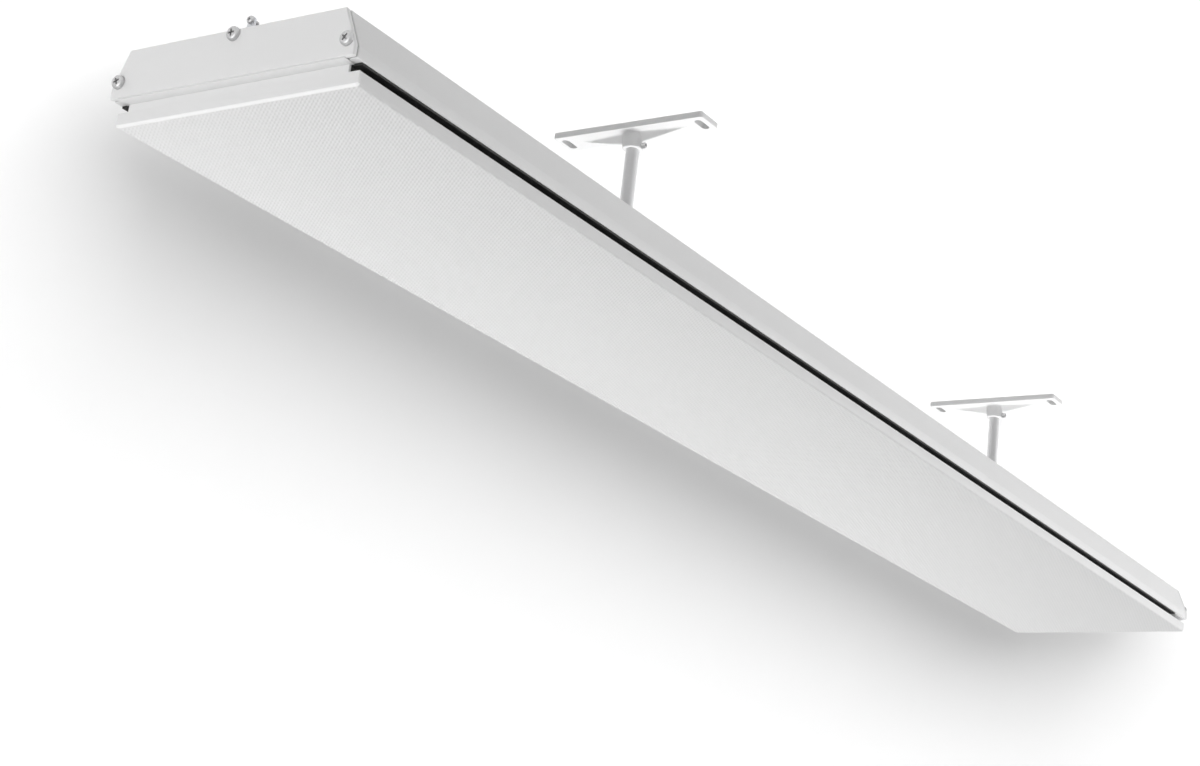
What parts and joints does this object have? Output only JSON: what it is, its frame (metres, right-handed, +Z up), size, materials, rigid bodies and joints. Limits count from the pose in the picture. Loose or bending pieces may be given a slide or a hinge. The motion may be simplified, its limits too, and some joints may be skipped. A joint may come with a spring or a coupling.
{
  "type": "electric radiant strip heater",
  "caption": "Slim white radiant strip heater for a patio, hung on poles from swivelling slotted ceiling brackets.",
  "frame": {"origin": "on the ceiling plane, at the middle of the ceiling brackets' four screw slots", "axes": "+X along the heater from the end shown nearest in the picture, +Z up into the ceiling"},
  "size_m": [1.2578, 0.166, 0.1455],
  "materials": {
    "white_powder_coat": "satin powder coat",
    "panel_coating": "matt baked coating, finely embossed below",
    "black_coat": "matt",
    "pole_paint": "satin",
    "cast_white_paint": "satin paint on a casting",
    "plated_steel": "zinc plated",
    "screw_steel": "bright",
    "element_sheath": "oxidised stainless sheath",
    "bare_aluminium": "mill finish",
    "terminal_brass": "bright",
    "gasket_rubber": "matt grey silicone",
    "white_ceramic": "unglazed",
    "mineral_fibre": "soft fibre blanket",
    "grey_plastic": "moulded",
    "brown_lead": "silicone sleeve",
    "blue_lead": "silicone sleeve",
    "white_lead": "glass sleeve",
    "green_lead": "silicone sleeve"
  },
  "bodies": {
    "heater": {"housing": "white_powder_coat", "near_end_cap": "white_powder_coat", "far_end_cap": "white_powder_coat", "near_cap_gasket": "gasket_rubber", "far_cap_gasket": "gasket_rubber", "near_cap_screws": "screw_steel", "far_cap_screws": "screw_steel", "radiating_panel": "panel_coating", "near_panel_end_plate": "panel_coating", "far_panel_end_plate": "panel_coating", "left_spacer_rail": "black_coat", "right_spacer_rail": "black_coat", "rail_screws": "screw_steel", "left_element": "element_sheath", "right_element": "element_sheath", "element_seals": "white_ceramic", "element_clamps": "plated_steel", "element_clamp_screws": "screw_steel", "insulation_blanket": "mineral_fibre", "heat_shield": "bare_aluminium", "terminal_block": "white_ceramic", "terminal_screws": "terminal_brass", "thermal_cutout": "grey_plastic", "earth_stud": "screw_steel", "earth_nut": "screw_steel", "live_lead": "brown_lead", "neutral_lead": "blue_lead", "bridge_lead": "white_lead", "earth_lead": "green_lead", "gland_body": "grey_plastic", "gland_seal": "gasket_rubber", "gland_dome_nut": "grey_plastic", "gland_lock_nut": "grey_plastic", "mounting_track": "plated_steel", "track_screws": "screw_steel", "track_end_plugs": "grey_plastic", "bonding_lug": "plated_steel", "bonding_screw": "screw_steel", "lug_rivet": "screw_steel", "data_plate": "bare_aluminium"},
    "near_hanger": {"near_track_nut": "plated_steel", "near_saddle": "plated_steel", "near_lock_nut": "plated_steel", "near_pole": "pole_paint"},
    "near_bracket": {"near_ceiling_bracket": "cast_white_paint", "near_clamp_screw": "screw_steel"},
    "far_hanger": {"far_track_nut": "plated_steel", "far_saddle": "plated_steel", "far_lock_nut": "plated_steel", "far_pole": "pole_paint"},
    "far_bracket": {"far_ceiling_bracket": "cast_white_paint", "far_clamp_screw": "screw_steel"}
  },
  "joints": [
    {"name": "near_hanger_slide", "type": "slide", "parent": "heater", "child": "near_hanger", "axis": [1, 0, 0], "range_m": [-0.25, 0.15]},
    {"name": "near_bracket_swivel", "type": "hinge", "parent": "near_hanger", "child": "near_bracket", "pos_m": [-0.3015, 0, -0.01], "axis": [0, 0, 1], "continuous": true},
    {"name": "far_hanger_slide", "type": "slide", "parent": "heater", "child": "far_hanger", "axis": [1, 0, 0], "range_m": [-0.15, 0.2]},
    {"name": "far_bracket_swivel", "type": "hinge", "parent": "far_hanger", "child": "far_bracket", "pos_m": [0.3015, 0, -0.01], "axis": [0, 0, 1], "continuous": true}
  ]
}
